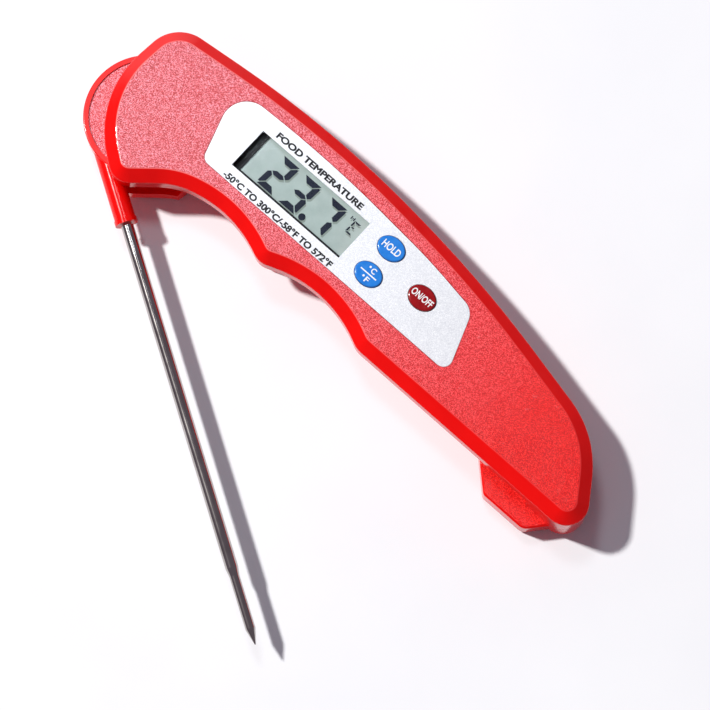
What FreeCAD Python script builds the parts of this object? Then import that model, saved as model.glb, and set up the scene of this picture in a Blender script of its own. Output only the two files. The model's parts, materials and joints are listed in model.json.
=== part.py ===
import FreeCAD, Part
import math
import os
import Sketcher
from FreeCAD import Rotation, Vector

# Folding probe thermometer, millimetres.
# Origin: on the back face, under the pivot of the probe. +X runs along the case to its tail,
# +Y to the smooth edge of the case, +Z out of the display face. The probe is part open.

DOC = FreeCAD.newDocument("folding_thermometer")
SHEET = DOC.addObject("Spreadsheet::Sheet", "Sizes")

SIZES = {
    # cutting shapes: how far they run past a face, and past the whole case
    "over": 1.0,
    "far": 200.0,
    # case, by height above the back face
    "back_bevel_height": 2.0,
    "back_bevel_width": 2.4,
    "back_floor": 1.8,
    "slot_bottom": 5.7,
    "parting_height": 8.7,
    "slot_top": 11.7,
    "lip_height": 15.2,
    "front_ceiling": 15.6,
    "case_thickness": 17.6,
    "front_bevel_width": 3.0,
    "face_rounding": 0.5,
    "lip_rounding": 0.4,
    "back_rounding": 0.5,
    "seam_depth": 0.25,
    "seam_half_height": 0.12,
    "wall_thickness": 1.8,
    # slot that the probe folds into
    "slot_setback": 2.8,
    "slot_end": 127.5,
    "sleeve_room": 0.25,
    "collar_level": 15.4,
    "spine_start": 14.0,
    "spine_level": 1.0,
    "relief_start": 17.5,
    # pivot and hub
    "hub_radius": 15.1,
    "hub_clearance": 0.5,
    "hub_gap": 0.35,
    "hub_face_radius": 13.8,
    "hub_pocket_radius": 12.8,
    "hub_pocket_roof": 0.4,
    "hub_face_depth": 0.4,
    "hub_rounding": 0.3,
    "pivot_boss_radius": 3.95,
    "pivot_bore_radius": 4.0,
    "pivot_wire_radius": 2.5,
    "pivot_seat_radius": 8.0,
    "channel_half_width": 2.3,
    "channel_end": 19.0,
    "channel_bottom": 3.7,
    "washer_radius": 7.5,
    "washer_play": 0.05,
    "pocket_inner_radius": 5.5,
    "pocket_outer_radius": 10.8,
    "pocket_depth": 3.6,
    "hub_cap_thickness": 0.8,
    # sleeve and probe
    "open_angle": 30.7,
    "probe_offset": 12.0,
    "sleeve_radius": 2.55,
    "sleeve_length": 23.3,
    "sleeve_root": 3.0,
    "sleeve_lip_radius": 2.75,
    "sleeve_lip_length": 1.2,
    "tube_radius": 1.5,
    "tube_root_radius": 1.3,
    "tube_bore_radius": 1.0,
    "tube_start": 5.0,
    "tube_shoulder": 23.8,
    "neck_start": 108.7,
    "neck_end": 110.7,
    "neck_radius": 1.18,
    "neck_bore_radius": 0.85,
    "point_start": 123.4,
    "probe_tip": 127.2,
    "tip_radius": 0.12,
    "bead_radius": 0.7,
    "bead_length": 3.0,
    "bead_back_radius": 0.42,
    "bead_back_taper": 0.9,
    "bead_front_radius": 0.35,
    "bead_front_taper": 0.6,
    "bead_gap": 1.4,
    # conductors
    "lead_radius": 0.3,
    "lead_gap": 0.4,
    "arm_bend": 0.9,
    "arm_turn_x": -6.0,
    "arm_turn_y": -6.2,
    "arm_turn_radius": 9.2,
    "arm_side_radius": 8.1,
    "arm_end_radius": 4.1,
    "case_bend": 0.45,
    "case_lead_x": -1.9,
    "case_lead_turn_x": -0.9,
    "case_lead_gap": 1.8,
    "case_lead_z": 4.5,
    "case_lead_end": 20.5,
    "case_lead_rise": 3.0,
    "return_radius": 0.45,
    "return_bend": 1.0,
    "return_y": -2.6,
    "return_side_y": -3.9,
    "return_drop_x": 130.6,
    "return_low_x": 126.5,
    "return_low_z": 4.6,
    "return_front_x": 82.0,
    "return_front_z": 4.0,
    "return_turn_y": -1.0,
    "return_rise_x": 76.5,
    "return_rise_z": 6.0,
    # display label and window
    "recess_floor": 17.0,
    "label_top": 17.5,
    "label_gap": 0.15,
    "window_left": 24.4,
    "window_right": 58.0,
    "window_low": 3.5,
    "window_high": 14.5,
    "window_border": 0.4,
    "fit_gap": 0.1,
    "bezel_left_bar": 1.75,
    "bezel_low_bar": 0.85,
    "bezel_high_gap": 0.5,
    "bezel_margin": 2.3,
    "bezel_bottom": 15.15,
    "bezel_top": 15.5,
    "glass_bottom": 13.1,
    "glass_top": 15.1,
    "glass_margin": 1.8,
    "glass_step": 1.0,
    "strip_gap": 0.2,
    "strip_width": 1.5,
    # buttons
    "button_long": 3.56,
    "button_short": 2.78,
    "button_gap": 0.15,
    "button_top": 18.0,
    "button_edge": 0.35,
    "flange_extra": 0.75,
    "flange_bottom": 14.3,
    "flange_top": 15.4,
    "stem_radius": 1.2,
    "stem_bottom": 12.75,
    "hold_x": 65.7,
    "hold_y": 13.26,
    "unit_x": 65.8,
    "unit_y": 5.17,
    "power_x": 78.8,
    "power_y": 9.26,
    # circuit board
    "board_bottom": 9.6,
    "board_top": 11.2,
    "board_left": 18.6,
    "board_right": 83.0,
    "board_low": -0.3,
    "board_high": 16.6,
    "board_screw_inset": 1.8,
    "board_screw_radius": 0.8,
    "board_screw_head": 1.5,
    "board_hole_radius": 1.0,
    "board_boss_radius": 1.7,
    "board_screw_head_height": 0.9,
    "board_screw_depth": 0.8,
    "board_notch_x": 5.0,
    "board_notch_y": 1.0,
    "switch_size": 6.0,
    "switch_top": 13.0,
    "plunger_depth": 0.9,
    "plunger_radius": 1.6,
    "chip_x": 44.0,
    "chip_y": 8.2,
    "chip_radius": 4.2,
    "chip_height": 1.3,
    "chip_edge": 1.1,
    "component_height": 1.0,
    # battery
    "cell_radius": 5.25,
    "cell_length": 44.5,
    "cell_nub_radius": 1.9,
    "cell_nub_length": 1.0,
    "cell_edge": 0.4,
    "cell_start": 84.2,
    "cell_y": 3.2,
    "cell_z": 7.6,
    "contact_thickness": 0.4,
    "contact_x": 83.7,
    "contact_half_width": 4.0,
    "contact_bottom": 3.2,
    "tab_length": 4.0,
    "tab_low": 0.8,
    "tab_high": 3.8,
    "spring_turns": 3,
    "spring_pitch": 1.2,
    "spring_radius": 2.4,
    "spring_wire_radius": 0.3,
    "spring_taper": 1.0,
    "spring_y": 1.2,
    "spring_plate_x": 132.9,
    "spring_plate_low": -3.2,
    "spring_plate_width": 7.1,
    "spring_plate_height": 6.0,
    # battery door
    "door_start": 81.5,
    "door_end": 150.0,
    "door_low": -2.6,
    "door_high": 9.0,
    "door_thickness": 1.6,
    "door_gap": 0.2,
    "rail_bottom": 0.8,
    "rail_top": 1.3,
    "rail_reach": 0.6,
    "door_grip_x": 90.0,
    "door_grip_depth": 0.5,
    "door_grip_width": 0.9,
    "door_grip_pitch": 1.8,
    "door_grip_count": 5,
    "door_grip_margin": 2.0,
    # screws and magnets
    "boss_radius": 2.6,
    "back_boss_radius": 3.2,
    "boss_root": 0.5,
    "boss_overlap": 0.1,
    "screw_radius": 1.0,
    "screw_hole_radius": 1.2,
    "screw_head_radius": 1.9,
    "screw_head_length": 1.4,
    "screw_well_radius": 2.2,
    "screw_well_depth": 2.0,
    "screw_end": 13.5,
    "screw_slot_width": 0.5,
    "screw_slot_reach": 0.6,
    "pivot_pin_radius": 1.25,
    "pivot_pin_start": 1.9,
    "pivot_pin_end": 14.6,
    "window_half_width": 1.2,
    "hub_duct_half_width": 1.0,
    "magnet_radius": 4.5,
    "magnet_thickness": 1.6,
    "magnet_wall": 0.9,
    "magnet_gap": 0.1,
    "magnet_ring_width": 1.2,
    "magnet_ring_root": 0.2,
    # tip guard
    "guard_bottom": 0.8,
    "guard_top": 6.9,
    "guard_edge": 0.45,
    "guard_keep_x": 90.0,
    "guard_keep_y": -6.6,
}

# Outline corners: name, x, y, rounding radius.
CASE_CORNERS = [
    ("heel", 6.1, -18.0, 5.0),
    ("cheek", -11.9, -5.0, 26.0),
    ("brow", -9.6, 21.1, 9.0),
    ("back_front", 37.0, 26.5, 270.0),
    ("back_rear", 88.0, 21.6, 290.0),
    ("rump", 129.85, 12.4, 25.0),
    ("tail", 145.05, -9.46, 5.3),
    ("grip_end", 75.1, -9.46, 6.0),
    ("valley_rear", 60.9, -2.8, 31.5),
    ("ridge", 44.5, -9.37, 5.0),
    ("valley_front", 32.1, -4.4, 30.0),
    ("arch", 17.4, -8.2, 18.5),
]
LABEL_CORNERS = [
    ("label_toe", 18.4, -0.25, 2.5),
    ("label_nose", 12.3, 18.5, 6.2),
    ("label_crest", 40.9, 19.66, 300.0),
    ("label_slope", 73.9, 17.3, 150.0),
    ("label_rear", 89.5, 15.0, 4.5),
    ("label_heel", 95.1, -0.25, 2.3),
]
GUARD_CORNERS = [
    ("guard_root", 109.4, -5.4, 0.5),
    ("guard_front", 118.9, -14.15, 1.6),
    ("guard_rear", 131.0, -14.15, 2.6),
    ("guard_end", 138.6, -5.4, 0.5),
]
CASE_SCREWS = [("head", 12.5, 17.0), ("back", 66.0, 19.4), ("belly", 44.6, -3.3), ("rear", 100.0, 13.6)]
MAGNETS = [("front", 34.0, 8.5), ("rear", 58.0, 8.5)]
COMPONENTS = [
    ("crystal", 30.0, 4.0, 6.0, 2.2),
    ("capacitor_a", 31.0, 12.5, 2.0, 1.25),
    ("capacitor_b", 36.0, 12.5, 2.0, 1.25),
    ("resistor_a", 54.0, 4.0, 1.6, 0.8),
    ("resistor_b", 54.0, 7.0, 1.6, 0.8),
    ("regulator", 71.0, 9.0, 3.0, 1.8),
]
BUTTONS = ("hold", "unit", "power")

SUBPARTS = []

FLAT = 1e-4  # height difference below which an edge counts as level


def fill_sheet():
    """Write every driving dimension into the sheet under its own alias."""
    cells = dict(SIZES)
    for name, x, y, radius in CASE_CORNERS + LABEL_CORNERS + GUARD_CORNERS:
        cells[name + "_x"] = x
        cells[name + "_y"] = y
        cells[name + "_radius"] = radius
    for prefix, places in (("screw_", CASE_SCREWS), ("magnet_", MAGNETS)):
        for name, x, y in places:
            cells[prefix + name + "_x"] = x
            cells[prefix + name + "_y"] = y
    for row, (alias, value) in enumerate(cells.items(), start=1):
        SHEET.set("A%d" % row, alias)
        SHEET.set("B%d" % row, str(value))
        SHEET.setAlias("B%d" % row, alias)
    DOC.recompute()


def bound(text):
    """Expression text with each known alias pointed at the sheet."""
    text = str(text)
    words = []
    word = ""
    for letter in text + " ":
        if letter.isalnum() or letter in "_.":
            word += letter
            continue
        known = word and not word[0].isdigit() and SHEET.getCellFromAlias(word)
        words.append("Sizes." + word if known else word)
        words.append(letter)
        word = ""
    return "".join(words).strip()


def number(text):
    """Value of an expression over the sheet."""
    value = SHEET.evalExpression(bound(text))
    return float(getattr(value, "Value", value))


def bind(thing, **properties):
    """Bind properties of an object to expressions; a double underscore stands for a dot."""
    for path, text in properties.items():
        thing.setExpression(path.replace("__", "."), bound(text))


def place(thing, x="0", y="0", z="0"):
    bind(thing, Placement__Base__x=x, Placement__Base__y=y, Placement__Base__z=z)


def subpart(thing, label):
    """Register a finished piece under the name it is exported with."""
    thing.Label = label
    SUBPARTS.append(thing)
    return thing


# ---------------------------------------------------------------- part workbench helpers

def box(name, low, high):
    solid = DOC.addObject("Part::Box", name)
    place(solid, *low)
    spans = ["(%s) - (%s)" % (top, bottom) for bottom, top in zip(low, high)]
    bind(solid, Length=spans[0], Width=spans[1], Height=spans[2])
    return solid


def cylinder(name, x, y, bottom, top, radius):
    solid = DOC.addObject("Part::Cylinder", name)
    place(solid, x, y, bottom)
    bind(solid, Radius=radius, Height="(%s) - (%s)" % (top, bottom))
    return solid


def fuse(name, *parts):
    result = DOC.addObject("Part::MultiFuse", name)
    result.Shapes = list(parts)
    result.Refine = True
    return result


def cut(name, base, *tools):
    result = DOC.addObject("Part::Cut", name)
    result.Base = base
    result.Tool = tools[0] if len(tools) == 1 else fuse(name + "_tools", *tools)
    result.Refine = True
    return result


def common(name, first, second):
    result = DOC.addObject("Part::Common", name)
    result.Base = first
    result.Tool = second
    result.Refine = True
    return result


def prism(name, profile, bottom, top):
    """Straight solid over a profile that lies at height zero."""
    solid = DOC.addObject("Part::Extrusion", name)
    solid.Base = profile
    solid.DirMode = "Custom"
    solid.Dir = Vector(0, 0, 1)
    solid.Solid = True
    bind(solid, LengthFwd=top, LengthRev="-(%s)" % bottom)
    return solid


def inset(name, profile, amount):
    """Profile moved inwards by an amount."""
    offset = DOC.addObject("Part::Offset2D", name)
    offset.Source = profile
    offset.Join = "Arc"
    bind(offset, Value="-(%s)" % amount)
    return offset


def bevel(name, profile, height, width, up=True):
    """Sloping band over a profile that lies where the band starts."""
    solid = DOC.addObject("Part::Extrusion", name)
    solid.Base = profile
    solid.DirMode = "Custom"
    solid.Dir = Vector(0, 0, 1 if up else -1)
    solid.Solid = True
    bind(solid, LengthFwd=height, TaperAngle="-atan((%s) / (%s))" % (width, height))
    return solid


def ring(name, bottom, top, outer, inner, x="0", y="0"):
    disc = cylinder(name + "_disc", x, y, bottom, top, outer)
    hole = cylinder(name + "_hole", x, y, "(%s) - over" % bottom, "(%s) + over" % top, inner)
    return cut(name, disc, hole)


# ---------------------------------------------------------------- sketch helpers

def fix_point(sketch, name, geometry, position, x, y):
    """Fix a point of a sketch from the origin, with both distances bound."""
    for kind, text in (("DistanceX", x), ("DistanceY", y)):
        index = sketch.addConstraint(Sketcher.Constraint(kind, -1, 1, geometry, position, number(text)))
        constraint = "%s_%s" % (name, kind[-1].lower())
        sketch.renameConstraint(index, constraint)
        sketch.setExpression("Constraints." + constraint, bound(text))


def corner_geometry(before, corner, after, radius):
    """Tangent points, centre and turning sense of one rounded corner."""
    inward = (corner - before).normalize()
    outward = (after - corner).normalize()
    turn = math.atan2(inward.x * outward.y - inward.y * outward.x, inward.dot(outward))
    reach = radius * math.tan(abs(turn) / 2)
    start = corner - inward * reach
    end = corner + outward * reach
    side = 1 if turn > 0 else -1
    centre = start + Vector(-inward.y, inward.x, 0) * radius * side
    return start, end, centre, side


def rounded_outline(sketch, corners):
    """Closed outline of straight edges with a tangent arc at every corner."""
    points = [Vector(x, y, 0) for _, x, y, _ in corners]
    count = len(corners)
    shapes = []
    for index, (_, _, _, radius) in enumerate(corners):
        neighbours = points[index - 1], points[index], points[(index + 1) % count]
        shapes.append(corner_geometry(*neighbours, radius))
    for index in range(count):
        following = shapes[(index + 1) % count]
        sketch.addGeometry(Part.LineSegment(shapes[index][1], following[0]), False)
    for index, (name, _, _, radius) in enumerate(corners):
        start, end, centre, side = shapes[index]
        first, last = (start, end) if side > 0 else (end, start)
        angles = [math.atan2(p.y - centre.y, p.x - centre.x) for p in (first, last)]
        if angles[1] < angles[0]:
            angles[1] += 2 * math.pi
        circle = Part.Circle(centre, Vector(0, 0, 1), radius)
        arc = sketch.addGeometry(Part.ArcOfCircle(circle, *angles), False)
        entry, leave = (1, 2) if side > 0 else (2, 1)
        sketch.addConstraint(Sketcher.Constraint("Tangent", (index - 1) % count, 2, arc, entry))
        sketch.addConstraint(Sketcher.Constraint("Tangent", arc, leave, index, 1))
        rounding = sketch.addConstraint(Sketcher.Constraint("Radius", arc, radius))
        sketch.renameConstraint(rounding, name + "_radius")
        sketch.setExpression("Constraints.%s_radius" % name, bound(name + "_radius"))
        point = sketch.addGeometry(Part.Point(points[index]), True)
        fix_point(sketch, name, point, 1, name + "_x", name + "_y")
        sketch.addConstraint(Sketcher.Constraint("PointOnObject", point, 1, (index - 1) % count))
        sketch.addConstraint(Sketcher.Constraint("PointOnObject", point, 1, index))


def outline(name, corners, height="0"):
    """Free-standing sketch of a rounded outline at a height."""
    sketch = DOC.addObject("Sketcher::SketchObject", name)
    rounded_outline(sketch, corners)
    place(sketch, z=height)
    return sketch


def edges_at(shape, height):
    """Numbers of the edges that lie wholly at one height."""
    numbers = []
    for index, edge in enumerate(shape.Edges, start=1):
        bounds = edge.BoundBox
        if abs(bounds.ZMin - height) < FLAT and abs(bounds.ZMax - height) < FLAT:
            numbers.append(index)
    return numbers


def rounded(name, solid, *rounds):
    """Solid with the edges at each height rounded by that height's radius."""
    DOC.recompute()
    result = DOC.addObject("Part::Fillet", name)
    result.Base = solid
    edges = []
    for height, radius in rounds:
        for index in edges_at(solid.Shape, number(height)):
            edges.append((index, number(radius), number(radius)))
    result.Edges = edges
    return result


def new_body(name):
    body = DOC.addObject("PartDesign::Body", name + "_body")
    return subpart(body, name)


def body_sketch(body, name, role="XY_Plane", height="0"):
    """Sketch on one of a body's own origin planes, shifted along the plane's normal."""
    sketch = body.newObject("Sketcher::SketchObject", name)
    plane = [feature for feature in body.Origin.OriginFeatures if feature.Role == role][0]
    sketch.AttachmentSupport = [(plane, "")]
    sketch.MapMode = "FlatFace"
    bind(sketch, AttachmentOffset__Base__z=height)
    return sketch


def polygon(sketch, points):
    """Closed polygon whose corners are all fixed by expressions."""
    corners = [Vector(number(x), number(y), 0) for x, y in points]
    count = len(points)
    for index in range(count):
        sketch.addGeometry(Part.LineSegment(corners[index], corners[(index + 1) % count]), False)
    for index in range(count):
        sketch.addConstraint(Sketcher.Constraint("Coincident", index, 2, (index + 1) % count, 1))
        fix_point(sketch, "corner_%d" % index, index, 1, *points[index])


def circle(sketch, name, x, y, radius):
    centre = Vector(number(x), number(y), 0)
    index = sketch.addGeometry(Part.Circle(centre, Vector(0, 0, 1), number(radius)), False)
    fix_point(sketch, name, index, 3, x, y)
    size = sketch.addConstraint(Sketcher.Constraint("Radius", index, number(radius)))
    sketch.renameConstraint(size, name + "_radius")
    sketch.setExpression("Constraints.%s_radius" % name, bound(radius))


def oval(sketch, x, y, long_radius, short_radius):
    """Ellipse with its long axis along X."""
    centre = Vector(number(x), number(y), 0)
    right = centre + Vector(number(long_radius), 0, 0)
    top = centre + Vector(0, number(short_radius), 0)
    index = sketch.addGeometry(Part.Ellipse(right, top, centre), False)
    sketch.exposeInternalGeometry(index)
    fix_point(sketch, "centre", index, 3, x, y)
    sketch.addConstraint(Sketcher.Constraint("Horizontal", index + 1))
    for axis, name, radius in ((index + 1, "long", long_radius), (index + 2, "short", short_radius)):
        span = sketch.addConstraint(Sketcher.Constraint("Distance", axis, 2 * number(radius)))
        sketch.renameConstraint(span, name)
        sketch.setExpression("Constraints." + name, bound("2 * (%s)" % radius))


def pad(body, name, sketch, length):
    feature = body.newObject("PartDesign::Pad", name)
    feature.Profile = sketch
    bind(feature, Length=length)
    return feature


def revolved(body, name, sketch, axis="H_Axis"):
    feature = body.newObject("PartDesign::Revolution", name)
    feature.Profile = sketch
    feature.ReferenceAxis = (sketch, [axis])
    feature.Angle = 360
    return feature


def rounded_top(body, name, last, height, radius):
    """Fillet on the edges of a body that lie at one height."""
    DOC.recompute()
    edge = body.newObject("PartDesign::Fillet", name)
    edge.Base = (last, ["Edge%d" % index for index in edges_at(last.Shape, number(height))])
    bind(edge, Radius=radius)


# ---------------------------------------------------------------- shared tools of the two covers

def inner_mask(name, profile, margin):
    """Region the case walls may fill: set back along the grip, full width elsewhere."""
    low = inset(name + "_low", profile, "slot_setback + (%s)" % margin)
    bottom, top = "-over", "case_thickness + over"
    core = prism(name + "_core", low, bottom, top)
    high = ("far", "far", top)
    upper = box(name + "_upper", ("spine_start + (%s)" % margin, "spine_level + (%s)" % margin, bottom), high)
    tail = box(name + "_tail", ("slot_end + (%s)" % margin, "-far", bottom), high)
    collar = box(name + "_collar", ("-far", "collar_level + (%s)" % margin, bottom), high)
    return fuse(name, core, upper, tail, collar)


def case_tools():
    """Outline of the case and the shapes cut from both covers."""
    profile = outline("case_outline", CASE_CORNERS)
    mask = inner_mask("spine", profile, "0")
    around = box("slot_block", ("-far", "-far", "slot_bottom"), ("far", "far", "slot_top"))
    swing = cylinder("hub_swing", "0", "0", "slot_bottom", "slot_top", "hub_radius + hub_clearance")
    opened = box("sleeve_way", ("-far", "0", "slot_bottom"),
                 ("0", "probe_offset + sleeve_lip_radius + sleeve_room", "slot_top"))
    slot = fuse("slot_space", cut("slot_outside", around, mask), swing, opened)
    room = inner_mask("room", profile, "wall_thickness")
    shell = inset("case_inner", profile, "wall_thickness")
    hollow = common("hollow", prism("hollow_block", shell, "back_floor", "front_ceiling"), room)
    keep = "hub_radius + hub_clearance + wall_thickness"
    guard = cylinder("hub_keep", "0", "0", "-over", "case_thickness + over", keep)
    cavity = cut("cavity", hollow, guard)
    cored = ring("hub_pocket_ring", "slot_top - over", "front_ceiling - hub_pocket_roof", "hub_pocket_radius",
                 "pivot_seat_radius")
    pocket = common("front_hub_pocket", cored, prism("hub_pocket_room", shell, "0", "case_thickness"))
    low, high = "parting_height - seam_half_height", "parting_height + seam_half_height"
    core = prism("seam_core", inset("seam_line", profile, "seam_depth"), "0", "case_thickness")
    seam = cut("seam", prism("seam_rim", profile, low, high), core)
    return profile, mask, slot, cavity, pocket, seam


def screw_places():
    return [("screw_%s_x" % name, "screw_%s_y" % name, name) for name, _, _ in CASE_SCREWS]


def board_screw_places():
    columns = ("board_left + board_screw_inset", "board_right - board_screw_inset")
    rows = ("board_low + board_screw_inset", "board_high - board_screw_inset")
    return [(x, y, "%d%d" % (column, row)) for column, x in enumerate(columns) for row, y in enumerate(rows)]


def button_place(name):
    return name + "_x", name + "_y"


def button_opening(name, prefix, bottom, top):
    """Oval hole that a button cap runs in."""
    ellipse = DOC.addObject("Part::Ellipse", prefix + name + "_oval")
    x, y = button_place(name)
    place(ellipse, x, y)
    bind(ellipse, MajorRadius="button_long + button_gap", MinorRadius="button_short + button_gap")
    return prism(prefix + name + "_hole", ellipse, bottom, top)


# ---------------------------------------------------------------- case

def make_front_cover(profile, slot, cavity, pocket, seam):
    wall = prism("front_wall", profile, "parting_height", "lip_height")
    lip = outline("front_lip", CASE_CORNERS, "lip_height")
    band = bevel("front_bevel", lip, "case_thickness - lip_height", "front_bevel_width")
    block = rounded("front_rounded", fuse("front_block", wall, band), ("case_thickness", "face_rounding"),
                    ("lip_height", "lip_rounding"))
    shell = cut("front_shell", block, slot, cavity, seam, pocket)
    bosses = []
    holes = []
    for x, y, name in screw_places():
        bosses.append(cylinder("front_boss_" + name, x, y, "parting_height",
                               "front_ceiling + boss_overlap", "boss_radius"))
        holes.append(cylinder("front_pilot_" + name, x, y, "parting_height - over", "screw_end",
                              "screw_radius"))
    for x, y, name in board_screw_places():
        bosses.append(cylinder("board_boss_" + name, x, y, "board_top",
                               "front_ceiling + boss_overlap", "board_boss_radius"))
        holes.append(cylinder("board_pilot_" + name, x, y, "board_top - over",
                              "front_ceiling - board_screw_depth", "board_screw_radius"))
    holes.append(cylinder("pin_seat_front", "0", "0", "slot_top - over", "pivot_pin_end",
                          "pivot_pin_radius"))
    label = outline("label_outline", LABEL_CORNERS)
    holes.append(prism("label_recess", label, "recess_floor", "case_thickness + over"))
    border = "window_border + fit_gap"
    low = ("window_left - (%s)" % border, "window_low - (%s)" % border, "front_ceiling - over")
    high = ("window_right + " + border, "window_high + " + border, "case_thickness")
    holes.append(box("window_aperture", low, high))
    for name in BUTTONS:
        holes.append(button_opening(name, "front_", "front_ceiling - over", "case_thickness"))
    subpart(cut("front_case", fuse("front_filled", shell, *bosses), *holes), "front_cover")
    return label


def door_opening(name, gap):
    """Block of the sliding door with its side rails, grown by a gap."""
    low, high = "door_low - %s" % gap, "door_high + %s" % gap
    plate = box(name + "_plate", ("door_start - %s" % gap, low, "-over"),
                ("door_end", high, "door_thickness + %s" % gap))
    rails = box(name + "_rails", ("door_start - %s" % gap, low + " - rail_reach", "rail_bottom - %s" % gap),
                ("door_end", high + " + rail_reach", "rail_top + %s" % gap))
    return fuse(name, plate, rails)


def back_slab(name, profile):
    """Solid of the back cover before it is hollowed."""
    wall = prism(name + "_wall", profile, "back_bevel_height", "parting_height")
    rim = outline(name + "_rim", CASE_CORNERS, "back_bevel_height")
    band = bevel(name + "_bevel", rim, "back_bevel_height", "back_bevel_width", up=False)
    return rounded(name, fuse(name + "_block", wall, band), ("0", "back_rounding"),
                   ("back_bevel_height", "back_rounding"))


def make_guard():
    """Flat ear beside the tail that covers the point of the folded probe."""
    profile = outline("guard_outline", GUARD_CORNERS)
    middle = prism("guard_middle", profile, "guard_bottom + guard_edge", "guard_top - guard_edge")
    upper = outline("guard_upper", GUARD_CORNERS, "guard_top - guard_edge")
    lower = outline("guard_lower", GUARD_CORNERS, "guard_bottom + guard_edge")
    top = bevel("guard_top_edge", upper, "guard_edge", "guard_edge")
    bottom = bevel("guard_bottom_edge", lower, "guard_edge", "guard_edge", up=False)
    return fuse("guard", middle, top, bottom)


def make_back_cover(profile, mask, slot, cavity, seam):
    slab = back_slab("back_slab", profile)
    relief_block = box("relief_block", ("relief_start", "-far", "-over"),
                       ("far", "spine_level", "slot_bottom"))
    relief = cut("grip_relief", relief_block, mask)
    shell = cut("back_shell", slab, slot, cavity, seam, relief)
    keep = box("guard_keep", ("guard_keep_x", "guard_keep_y", "-over"), ("far", "far", "case_thickness"))
    additions = [cut("guard_ear", make_guard(), keep)]
    holes = [door_opening("door_way", "door_gap")]
    for x, y, name in screw_places():
        additions.append(cylinder("back_boss_" + name, x, y, "boss_root", "parting_height",
                                  "back_boss_radius"))
        holes.append(cylinder("back_clear_" + name, x, y, "-over", "parting_height + over",
                              "screw_hole_radius"))
        holes.append(cylinder("back_well_" + name, x, y, "-over", "screw_well_depth",
                              "screw_well_radius"))
    additions.append(cylinder("pivot_boss", "0", "0", "slot_bottom - over", "slot_top",
                              "pivot_boss_radius"))
    holes.append(cylinder("pivot_wires", "0", "0", "channel_bottom", "slot_top + over",
                          "pivot_wire_radius"))
    holes.append(cylinder("pin_seat_back", "0", "0", "pivot_pin_start", "slot_bottom",
                          "pivot_pin_radius"))
    holes.append(box("wire_channel", ("-channel_half_width", "-channel_half_width", "channel_bottom"),
                     ("channel_end", "channel_half_width", "slot_bottom")))
    holes.append(box("pivot_window", ("-pivot_bore_radius - over", "-window_half_width",
                                      "parting_height - window_half_width"),
                     ("0", "window_half_width", "parting_height + window_half_width")))
    for name, _, _ in MAGNETS:
        x, y = "magnet_%s_x" % name, "magnet_%s_y" % name
        top = "back_floor + magnet_thickness - magnet_wall"
        additions.append(ring("magnet_ring_" + name, "back_floor - magnet_ring_root", top,
                              "magnet_radius + magnet_ring_width", "magnet_radius + magnet_gap", x, y))
        holes.append(cylinder("magnet_seat_" + name, x, y, "magnet_wall", "back_floor + over",
                              "magnet_radius + magnet_gap"))
    body = fuse("back_filled", shell, *additions)
    subpart(cut("back_case", body, *holes), "back_cover")


def make_battery_door(profile):
    slab = back_slab("door_slab", profile)
    door = common("door_blank", slab, door_opening("door_block", "0"))
    grooves = []
    for index in range(int(SIZES["door_grip_count"])):
        x = "door_grip_x + %d * door_grip_pitch" % index
        low = (x, "door_low + door_grip_margin", "-over")
        high = (x + " + door_grip_width", "door_high - door_grip_margin", "door_grip_depth")
        grooves.append(box("door_groove_%d" % index, low, high))
    subpart(cut("door_piece", door, *grooves), "battery_door")


# ---------------------------------------------------------------- label, display and buttons

def make_label(label):
    sheet = prism("label_sheet", inset("label_edge", label, "label_gap"), "recess_floor", "label_top")
    holes = [box("label_window", ("window_left", "window_low", "recess_floor - over"),
                 ("window_right", "window_high", "label_top + over"))]
    for name in BUTTONS:
        holes.append(button_opening(name, "label_", "recess_floor - over", "label_top + over"))
    subpart(cut("label_piece", sheet, *holes), "label_overlay")


def make_display():
    left, right = "window_left - window_border", "window_right + window_border"
    low, high = "window_low - window_border", "window_high + window_border"
    lens = box("lens", (left, low, "front_ceiling"), (right, high, "recess_floor"))
    subpart(lens, "display_window")

    outer = box("bezel_block", ("window_left - bezel_margin", "window_low - bezel_margin", "bezel_bottom"),
                ("window_right + bezel_margin", "window_high + bezel_margin", "bezel_top"))
    opening = box("bezel_opening",
                  ("window_left + bezel_left_bar", "window_low + bezel_low_bar", "bezel_bottom - over"),
                  ("window_right", "window_high + bezel_high_gap", "bezel_top + over"))
    subpart(cut("bezel", outer, opening), "display_bezel")

    left, right = "window_left - glass_margin", "window_right + glass_margin"
    step = "glass_bottom + glass_step"
    upper = box("glass_upper", (left, "window_low - glass_margin", step),
                (right, "window_high + glass_margin", "glass_top"))
    lower = box("glass_lower", (left, "window_low", "glass_bottom"), (right, "window_high", step))
    subpart(fuse("glass", upper, lower), "display_glass")

    strips = []
    for name, y in (("low", "window_low - strip_gap - strip_width"), ("high", "window_high + strip_gap")):
        strips.append(box("strip_" + name, ("window_left", y, "board_top"),
                          ("window_right", y + " + strip_width", step)))
    subpart(fuse("strips", *strips), "connector_strips")


def make_button(name):
    """Oval cap with a flange that traps it under the cover and a stem that presses the switch."""
    body = new_body(name + "_button")
    x, y = button_place(name)
    flange = body_sketch(body, name + "_flange_sketch", height="flange_bottom")
    oval(flange, x, y, "button_long + flange_extra", "button_short + flange_extra")
    pad(body, name + "_flange", flange, "flange_top - flange_bottom")
    cap = body_sketch(body, name + "_cap_sketch", height="flange_bottom")
    oval(cap, x, y, "button_long", "button_short")
    pad(body, name + "_cap", cap, "button_top - flange_bottom")
    stem = body_sketch(body, name + "_stem_sketch", height="stem_bottom")
    circle(stem, "stem", x, y, "stem_radius")
    last = pad(body, name + "_stem", stem, "flange_top - stem_bottom")
    rounded_top(body, name + "_edge", last, "button_top", "button_edge")


# ---------------------------------------------------------------- circuit board

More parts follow.
